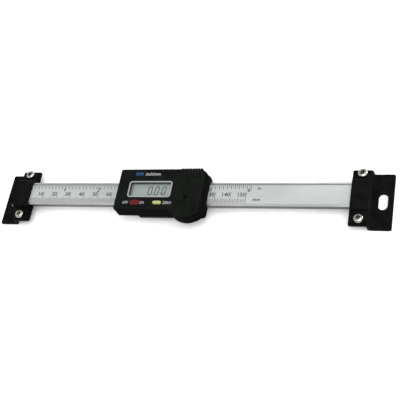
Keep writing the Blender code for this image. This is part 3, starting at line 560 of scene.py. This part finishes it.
nickel = bright_nickel()
pan_head_screw("strap_screw_left_upper", "bracket_screw_left_upper", 20, nickel)
pan_head_screw("strap_screw_left_lower", "bracket_screw_left_lower", 68, nickel)
pan_head_screw("strap_screw_right_upper", "bracket_screw_right_upper", 41, nickel)
pan_head_screw("strap_screw_right_lower", "bracket_screw_right_lower", 7, nickel)


# Carriage. The metal slider under the head, plated dull, that wraps the beam's edges. A bronze gib
# strip takes up its play along the upper edge, pressed by two small slotted set screws.

def dull_plating():
    finish = new_finish("dull_plated_steel", (0.42, 0.42, 0.41), 0.45, 1.0)
    cloud = grain(finish, 3 * mm)
    speck = grain(finish, 0.3 * mm)
    colour = tint(finish, cloud, (0.3, 0.3, 0.29), (0.5, 0.5, 0.49))
    feed(finish, colour, shader_of(finish).inputs["Base Color"])
    feed(finish, between(finish, speck, 0.38, 0.58), shader_of(finish).inputs["Roughness"])
    feed(finish, relief(finish, speck, 0.01 * mm), shader_of(finish).inputs["Normal"])
    return finish


def spring_bronze():
    finish = new_finish("spring_bronze", (0.7, 0.52, 0.24), 0.3, 1.0)
    rolled = grain(finish, 0.2 * mm, (0.1, 1, 1))
    colour = tint(finish, rolled, (0.58, 0.42, 0.18), (0.78, 0.6, 0.3))
    feed(finish, colour, shader_of(finish).inputs["Base Color"])
    feed(finish, between(finish, rolled, 0.24, 0.4), shader_of(finish).inputs["Roughness"])
    return finish


bronze = spring_bronze()
dress("carriage", dull_plating())
dress("gib_strip", bronze)
dress("gib_screw_left", nickel)
dress("gib_screw_right", nickel)


# Circuit board with its chip. Glass-epoxy board under green resist, through which the traces show,
# with the bare chip under a drop of black resin. Two layered silicone strips carry the display.

def green_resist():
    finish = new_finish("green_solder_resist", (0.02, 0.13, 0.05), 0.35)
    tracks = add_step(finish, "ShaderNodeTexBrick", Scale=1.0)
    tracks.inputs["Mortar Size"].default_value = 0.12
    tracks.inputs["Brick Width"].default_value = 5.0
    tracks.inputs["Row Height"].default_value = 0.8
    tracks.inputs["Color1"].default_value = (0, 0, 0, 1)
    tracks.inputs["Color2"].default_value = (0.15, 0.15, 0.15, 1)
    tracks.inputs["Mortar"].default_value = (1, 1, 1, 1)
    feed(finish, over_piece(finish, (1000, 1000, 1000)), tracks.inputs["Vector"])
    colour = tint(finish, tracks.outputs["Color"], (0.012, 0.09, 0.03), (0.05, 0.23, 0.09), 0.2, 0.8)
    feed(finish, colour, shader_of(finish).inputs["Base Color"])
    feed(finish, relief(finish, tracks.outputs["Color"], 0.02 * mm), shader_of(finish).inputs["Normal"])
    return finish


def black_resin():
    finish = new_finish("black_resin", (0.008, 0.008, 0.008), 0.18)
    dust = grain(finish, 0.5 * mm)
    feed(finish, between(finish, dust, 0.12, 0.3), shader_of(finish).inputs["Roughness"])
    feed(finish, relief(finish, dust, 0.01 * mm), shader_of(finish).inputs["Normal"])
    return finish


def layered_silicone():
    finish = new_finish("layered_silicone", (0.3, 0.29, 0.27), 0.6)
    layers = add_step(finish, "ShaderNodeTexWave", Scale=1.0)
    layers.bands_direction = "X"
    feed(finish, over_piece(finish, (3000, 1, 1)), layers.inputs["Vector"])
    colour = tint(finish, layers.outputs["Fac"], (0.04, 0.04, 0.04), (0.5, 0.47, 0.42), 0.4, 0.6)
    feed(finish, colour, shader_of(finish).inputs["Base Color"])
    return finish


silicone = layered_silicone()
dress("circuit_board", green_resist())
dress("chip_blob", black_resin())
dress("lcd_connector_upper", silicone)
dress("lcd_connector_lower", silicone)


# Display. A grey-green liquid-crystal glass that shows 0.00, with five leaning figures of seven
# bars each. The bars that are switched off show as a faint shade.

glass_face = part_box("lcd_panel")[1].z
figure_tall = 6.0 * mm
figure_wide = 2.9 * mm
bar_wide = 0.62 * mm
figure_line = -0.45 * mm
figure_places = [-27.2 * mm, -22.6 * mm, -18.0 * mm, -13.4 * mm, -8.8 * mm]
lean = math.tan(math.radians(5))


def display_glass():
    finish = new_finish("display_glass", (0.3, 0.34, 0.32), 0.3)
    cloud = grain(finish, 7 * mm)
    fine = grain(finish, 0.2 * mm)
    colour = tint(finish, cloud, (0.287, 0.332, 0.315), (0.328, 0.373, 0.355))
    # Painted shadow: the glass is darker along its top and left edges, for the shadow of the window's walls.
    window_shadow = tint(finish, fine, (0.02, 0.024, 0.022), (0.04, 0.046, 0.043))
    clear_below = 2.9 * mm
    upper_end = 5.1 * mm
    left_end = -31.3 * mm
    clear_right_of = -29.0 * mm
    near_top = between(finish, along(finish, "Y"), 0, 1, clear_below, upper_end)
    near_left = between(finish, along(finish, "X"), 1, 0, left_end, clear_right_of)
    shaded = mixed(finish, near_left, mixed(finish, near_top, colour, window_shadow), window_shadow)
    feed(finish, shaded, shader_of(finish).inputs["Base Color"])
    feed(finish, between(finish, fine, 0.25, 0.38), shader_of(finish).inputs["Roughness"])
    return finish


def figure_shade(name, dark, light):
    finish = new_finish(name, dark, 0.35)
    cloud = grain(finish, 1.5 * mm)
    feed(finish, tint(finish, cloud, dark, light), shader_of(finish).inputs["Base Color"])
    return finish


def figure_bar(middle, length, standing):
    """One bar of a figure, pointed at both ends."""
    half_x, half_y = (bar_wide / 2, length / 2) if standing else (length / 2, bar_wide / 2)
    x, y = middle
    bar = block_piece("bar", (x - half_x, y - half_y, glass_face - ink / 4),
                      (x + half_x, y + half_y, glass_face + ink / 2))
    pick("EDGE", is_upright)
    bpy.ops.mesh.bevel(offset=bar_wide * 0.47, segments=1, affect="EDGES")
    bpy.ops.object.mode_set(mode="OBJECT")
    return bar


def figure(x, lit):
    """The lit and the unlit bars of one figure; lit names them from a, at the top, to g."""
    gap = 0.12 * mm
    side = figure_wide / 2 - bar_wide / 2
    end = figure_tall / 2 - bar_wide / 2
    standing = end - gap
    lying = figure_wide - bar_wide - gap
    places = {"a": ((0, end), False), "b": ((side, end / 2), True), "c": ((side, -end / 2), True),
              "d": ((0, -end), False), "e": ((-side, -end / 2), True), "f": ((-side, end / 2), True),
              "g": ((0, 0), False)}
    on, off = [], []
    for letter, (place, upright) in places.items():
        bar = figure_bar((x + place[0], figure_line + place[1]), standing if upright else lying, upright)
        (on if letter in lit else off).append(bar)
    return on, off


def figure_point(x):
    y = figure_line - figure_tall / 2
    point = block_piece("point", (x, y, glass_face - ink / 4),
                        (x + bar_wide, y + bar_wide, glass_face + ink / 2))
    pick("EDGE", is_upright)
    bpy.ops.mesh.bevel(offset=0.2 * mm, segments=3, affect="EDGES")
    bpy.ops.object.mode_set(mode="OBJECT")
    return point


def leaned(piece):
    for corner in piece.data.vertices:
        corner.co.x += lean * (corner.co.y - figure_line)
    return piece


lit_bars = [figure_point(-16.2 * mm)]
unlit_bars = [figure_point(-20.8 * mm), figure_point(-11.6 * mm)]
for place, lit in zip(figure_places, ("", "", "abcdef", "abcdef", "abcdef")):
    on, off = figure(place, lit)
    lit_bars += on
    unlit_bars += off
dress("lcd_panel", display_glass())
lit_shade = figure_shade("lit_figures", (0.012, 0.015, 0.014), (0.022, 0.026, 0.025))
unlit_shade = figure_shade("unlit_figures", (0.266, 0.308, 0.292), (0.307, 0.351, 0.334))
finish_piece(leaned(joined("display_figures", lit_bars)), lit_shade, "head")
finish_piece(leaned(joined("display_unlit_bars", unlit_bars)), unlit_shade, "head")


# Head housing. Moulded in black plastic, with a fine spark-eroded texture on its face. Its walls are
# painted darker than the face, as painted shade. Its words are pad-printed in white beside the
# buttons. A satin aluminium frame holds the clear window over the display.

def moulded_black():
    finish = new_finish("moulded_black_plastic", (0.006, 0.0065, 0.006), 0.5)
    shader_of(finish).inputs["Specular IOR Level"].default_value = 0.004
    texture = grain(finish, 0.16 * mm, detail=3)
    cloud = grain(finish, 5 * mm)
    flat = tint(finish, cloud, (0.005, 0.0058, 0.005), (0.0082, 0.0092, 0.0081))
    # Painted shade: the walls below the face get this darker colour.
    wall_shade = tint(finish, cloud, (0.0016, 0.0019, 0.0016), (0.0028, 0.0032, 0.0028))
    rubbed = tint(finish, texture, (0.01, 0.0105, 0.01), (0.028, 0.029, 0.028))
    walls_end = 17.1 * mm
    face_starts = 17.4 * mm
    on_face = between(finish, along(finish, "Z"), 0, 1, walls_end, face_starts)
    face_and_wall_shade = mixed(finish, on_face, wall_shade, flat)
    colour = mixed(finish, edge_share(finish, 0.22 * mm), face_and_wall_shade, rubbed)
    feed(finish, colour, shader_of(finish).inputs["Base Color"])
    feed(finish, between(finish, cloud, 0.46, 0.6), shader_of(finish).inputs["Roughness"])
    feed(finish, relief(finish, texture, 0.008 * mm), shader_of(finish).inputs["Normal"])
    return finish


def white_print():
    finish = new_finish("white_print", (0.6, 0.61, 0.6), 0.5)
    cloud = grain(finish, 0.3 * mm)
    colour = tint(finish, cloud, (0.3, 0.308, 0.3), (0.4, 0.408, 0.4))
    feed(finish, colour, shader_of(finish).inputs["Base Color"])
    return finish


def satin_aluminium():
    finish = new_finish("satin_aluminium", (0.42, 0.435, 0.435), 0.34, 0.85)
    brushed = grain(finish, 0.12 * mm, (0.06, 1, 1), 3)
    colour = tint(finish, brushed, (0.36, 0.375, 0.375), (0.48, 0.495, 0.495))
    feed(finish, colour, shader_of(finish).inputs["Base Color"])
    feed(finish, between(finish, brushed, 0.28, 0.42), shader_of(finish).inputs["Roughness"])
    feed(finish, relief(finish, brushed, 0.003 * mm), shader_of(finish).inputs["Normal"])
    return finish


def clear_window():
    finish = new_finish("clear_window", (0.16, 0.17, 0.165), 0.05)
    shader_of(finish).inputs["Alpha"].default_value = 0.1
    smear = grain(finish, 4 * mm)
    feed(finish, between(finish, smear, 0.03, 0.12), shader_of(finish).inputs["Roughness"])
    return finish


moulded = moulded_black()
dress("front_housing", moulded)
dress("window_frame", satin_aluminium())
dress("window_lens", clear_window())

frame_proud = 0.1 * mm
front_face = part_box("window_frame")[1].z - frame_proud
low_row = -9.75 * mm
capitals = 1.85 * mm
words = [lettering("inch/mm", 2.35 * mm, (-17.2 * mm, 10.3 * mm), front_face, 10.0 * mm, 0.008),
         lettering("OFF", capitals, (-32.2 * mm, low_row), front_face, 3.7 * mm, 0.004),
         lettering("ON", capitals, (-21.1 * mm, low_row), front_face, 2.9 * mm, 0.004),
         lettering("ZERO", capitals, (-4.2 * mm, low_row), front_face, 5.7 * mm, 0.004)]
finish_piece(joined("housing_words", words), white_print(), "head")


# Push buttons. Blue for the unit, red for the power and pale yellow for zero, each moulded with a
# crowned top and a flange that keeps it behind the housing's front. Grey rubber pads lift them.

def button_plastic(name, dark, light):
    finish = new_finish(name, light, 0.3)
    shader_of(finish).inputs["Specular IOR Level"].default_value = 0.22
    cloud = grain(finish, 1.6 * mm)
    fine = grain(finish, 0.12 * mm)
    feed(finish, tint(finish, cloud, dark, light), shader_of(finish).inputs["Base Color"])
    feed(finish, between(finish, fine, 0.26, 0.42), shader_of(finish).inputs["Roughness"])
    feed(finish, relief(finish, fine, 0.003 * mm), shader_of(finish).inputs["Normal"])
    return finish


def grey_rubber():
    finish = new_finish("grey_rubber", (0.17, 0.17, 0.17), 0.75)
    dust = grain(finish, 0.3 * mm)
    colour = tint(finish, dust, (0.12, 0.12, 0.12), (0.2, 0.2, 0.2))
    feed(finish, colour, shader_of(finish).inputs["Base Color"])
    return finish


def push_button(name, node, body, cap, corner, finish):
    """A cap of that length and width with round corners, on its flange and stem."""
    low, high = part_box(node)
    x, y = (low.x + high.x) / 2, (low.y + high.y) / 2
    half_x, half_y = cap[0] / 2 - corner, cap[1] / 2 - corner
    crown_steps = ((0.04, 0.13), (0.09, 0.12), (0.16, 0.09), (0.25, 0.06), (0.35, 0.03))
    flange_over = 1.1 * mm
    flange_thick = 0.55 * mm
    crown_room = 0.45 * mm
    cap_tall = 2.15 * mm
    stem_in = 1.2 * mm
    sides = 48
    half_a_side = math.radians(180 / sides)
    shoulder = high.z - crown_room
    ledge = shoulder - cap_tall
    start_piece()
    bpy.ops.mesh.primitive_cylinder_add(vertices=sides, radius=corner, depth=shoulder - ledge,
                                        location=(x, y, (shoulder + ledge) / 2),
                                        rotation=(0, 0, half_a_side))
    button = bpy.context.object
    bpy.ops.object.transform_apply(location=True, rotation=True, scale=True)
    bpy.ops.object.mode_set(mode="EDIT")
    for side in (-1, 1):
        pick("VERT", lambda corner_point: (corner_point.co.x - x) * side > 0)
        bpy.ops.transform.translate(value=(side * half_x, 0, 0))
        pick("VERT", lambda corner_point: (corner_point.co.y - y) * side > 0)
        bpy.ops.transform.translate(value=(0, side * half_y, 0))
    pick("FACE", lambda face: face.normal.z > 0.9)
    step = min(corner, 0.95 * mm)
    for inset, rise in crown_steps:
        bpy.ops.mesh.inset(thickness=inset * step, depth=rise * mm)
    pick("FACE", lambda face: face.normal.z < -0.9)
    bpy.ops.mesh.extrude_region_move(TRANSFORM_OT_translate={"value": (0, 0, 0)})
    wide = ((cap[0] + flange_over) / cap[0], (cap[1] + flange_over) / cap[1], 1)
    bpy.ops.transform.resize(value=wide, center_override=(x, y, ledge))
    bpy.ops.mesh.extrude_region_move(TRANSFORM_OT_translate={"value": (0, 0, -flange_thick)})
    bpy.ops.mesh.inset(thickness=stem_in)
    stem_end = low.z - ledge + flange_thick
    bpy.ops.mesh.extrude_region_move(TRANSFORM_OT_translate={"value": (0, 0, stem_end)})
    bpy.ops.object.mode_set(mode="OBJECT")
    bpy.ops.object.shade_smooth_by_angle(angle=math.radians(38))
    button.name = name
    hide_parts(node)
    finish_piece(button, finish, body)


blue = button_plastic("blue_plastic", (0.0055, 0.034, 0.09), (0.0105, 0.057, 0.135))
push_button("unit_push_button", "unit_button", "unit_button", (5.2 * mm, 2.1 * mm), 0.4 * mm, blue)
red = button_plastic("red_plastic", (0.07, 0.0018, 0.004), (0.112, 0.003, 0.006))
push_button("power_push_button", "power_button", "power_button", (6.5 * mm, 3.4 * mm), 1.7 * mm, red)
yellow = button_plastic("pale_yellow_plastic", (0.29, 0.296, 0.115), (0.388, 0.394, 0.168))
push_button("zero_push_button", "zero_button", "zero_button", (5.6 * mm, 2.2 * mm), 1.1 * mm, yellow)
rubber = grey_rubber()
for node in ("unit_button_pad", "power_button_pad", "zero_button_pad"):
    dress(node, rubber)


# Battery cover, coin cell and contacts. The cover is moulded like the housing and slides off to
# the right over the lobe, with ribs for the thumb. Under it a nickel-cased coin cell lies on one
# bronze leaf and is touched by the other at its side.

def nickel_case():
    finish = new_finish("nickel_case", (0.68, 0.68, 0.68), 0.28, 1.0)
    pressed = grain(finish, 0.12 * mm, (0.05, 1, 1))
    colour = tint(finish, pressed, (0.58, 0.58, 0.58), (0.74, 0.74, 0.73))
    feed(finish, colour, shader_of(finish).inputs["Base Color"])
    feed(finish, between(finish, pressed, 0.22, 0.38), shader_of(finish).inputs["Roughness"])
    feed(finish, relief(finish, pressed, 0.003 * mm), shader_of(finish).inputs["Normal"])
    return finish


dress("battery_cover", moulded)
dress("coin_cell", nickel_case())
cell_low, cell_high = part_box("coin_cell")
cell_middle = ((cell_low.x + cell_high.x) / 2, (cell_low.y + cell_high.y) / 2)
plus_size = 3.2 * mm
plus = lettering("+", plus_size, cell_middle, cell_high.z, plus_size, stroke)
finish_piece(joined("cell_plus_mark", [plus]), black_ink(), "head")
dress("battery_contact_negative", bronze)
dress("battery_contact_positive", bronze)


# Back of the head. A pressed and enamelled steel cover closes the slider under the beam. Its left
# end is open for the carriage and its right end for the beam, and its rounded corners show beside
# the lobe. Four small plated screws hold it, and three more hold the housing to the carriage.

def pressed_cover():
    """The cover reaches nearly to the right end of the housing, further than its CAD piece."""
    sheet = 0.8 * mm
    seen_corner = 4.2 * mm
    other_corners = 2.2 * mm
    lower_rounding = 0.9 * mm
    beam_room = 9.3 * mm
    carriage_front = -13.1 * mm
    carriage_back = 12.6 * mm
    way_in = 2 * mm
    end_gap = 0.6 * mm
    low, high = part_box("rear_cover")
    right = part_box("front_housing")[1].x - end_gap
    cover = block_piece("pressed_rear_cover", low, (right, high.y, high.z))
    pick("EDGE", lambda edge: is_upright(edge) and edge_middle(edge).x > 0 and edge_middle(edge).y > 0)
    bpy.ops.mesh.bevel(offset=seen_corner, segments=12, affect="EDGES")
    pick("EDGE", lambda edge: is_upright(edge) and (edge_middle(edge).x < 0 or edge_middle(edge).y < 0))
    bpy.ops.mesh.bevel(offset=other_corners, segments=8, affect="EDGES")
    pick("EDGE", lambda edge: edge_middle(edge).z < low.z + 0.01 * mm)
    bpy.ops.mesh.bevel(offset=lower_rounding, segments=4, affect="EDGES")
    pick("FACE", lambda face: face.normal.z > 0.9)
    bpy.ops.mesh.inset(thickness=sheet)
    bpy.ops.mesh.extrude_region_move(TRANSFORM_OT_translate={"value": (0, 0, low.z + sheet - high.z)})
    bpy.ops.object.mode_set(mode="OBJECT")
    sill = low.z + sheet + 0.1 * mm
    over = high.z + mm
    cutters = [block_piece("carriage_way", (low.x - mm, carriage_front, sill),
                           (low.x + way_in, carriage_back, over)),
               block_piece("beam_way", (right - way_in, -beam_room, sill), (right + mm, beam_room, over))]
    for node in nodes:
        if node.startswith("rear_screw"):
            screw_low, screw_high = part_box(node)
            x, y = (screw_low.x + screw_high.x) / 2, (screw_low.y + screw_high.y) / 2
            start_piece()
            bpy.ops.mesh.primitive_cylinder_add(vertices=24, radius=mm, depth=4 * mm, location=(x, y, low.z))
            cutters.append(bpy.context.object)
    cut_away(cover, cutters)
    bpy.ops.object.shade_smooth_by_angle(angle=math.radians(35))
    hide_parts("rear_cover")
    finish_piece(cover, enamel, "head")


pressed_cover()
for node in nodes:
    if node.startswith(("rear_screw", "housing_screw")):
        dress(node, nickel)


# Studio. A plain pale floor that the feet stand on, one broad soft light over it and two weaker
# ones from the sides, in an even pale room.

def pale_floor():
    finish = new_finish("pale_floor", (0.96, 0.96, 0.96), 0.7)
    cloud = grain(finish, 150 * mm)
    feed(finish, tint(finish, cloud, (0.95, 0.95, 0.95), (0.97, 0.97, 0.97)),
         shader_of(finish).inputs["Base Color"])
    return finish


def soft_light(name, place, aim, size, power):
    lamp = bpy.data.lights.new(name, "AREA")
    lamp.shape = "DISK"
    lamp.size = size
    lamp.energy = power
    light = bpy.data.objects.new(name, lamp)
    light.location = place
    light.rotation_euler = (Vector(aim) - Vector(place)).to_track_quat("-Z", "Y").to_euler()
    bpy.context.scene.collection.objects.link(light)


floor_wide = 8
floor_height = -0.05 * mm
start_piece()
bpy.ops.mesh.primitive_plane_add(size=floor_wide, location=(0, 0, floor_height))
floor = bpy.context.object
floor.name = "floor"
floor.data.materials.append(pale_floor())

soft_light("broad_light", (0.5, -0.3, 1.5), (0, 0, 0), 1.9, 24)
soft_light("left_light", (-1.4, -0.5, 1.0), (0, 0, 0), 1.0, 3)
soft_light("right_light", (1.3, 0.8, 0.28), (0, 0, 0), 0.7, 12)

room = bpy.data.worlds.new("pale_room")
room.use_nodes = True
room.node_tree.nodes["Background"].inputs["Color"].default_value = (1, 1, 1, 1)
room.node_tree.nodes["Background"].inputs["Strength"].default_value = 0.8
bpy.context.scene.world = room
bpy.context.scene.view_settings.view_transform = "Standard"


# Camera. It stands in front of the object, above it and to its right, and looks down across
# the beam.

lens = bpy.data.cameras.new("camera")
lens.lens = 78.63
lens.sensor_width = 36
lens.clip_start = 0.02
camera = bpy.data.objects.new("camera", lens)
to_right = Vector((0.93282303, 0.17074349, -0.31731349))
to_top = Vector((-0.00559628, 0.88736596, 0.46103181))
to_back = Vector((0.36029137, -0.42828532, 0.82871093))
camera.matrix_world = Matrix((
    (to_right.x, to_top.x, to_back.x, 0.206448),
    (to_right.y, to_top.y, to_back.y, -0.232711),
    (to_right.z, to_top.z, to_back.z, 0.452681),
    (0, 0, 0, 1),
))
bpy.context.scene.collection.objects.link(camera)
bpy.context.scene.camera = camera
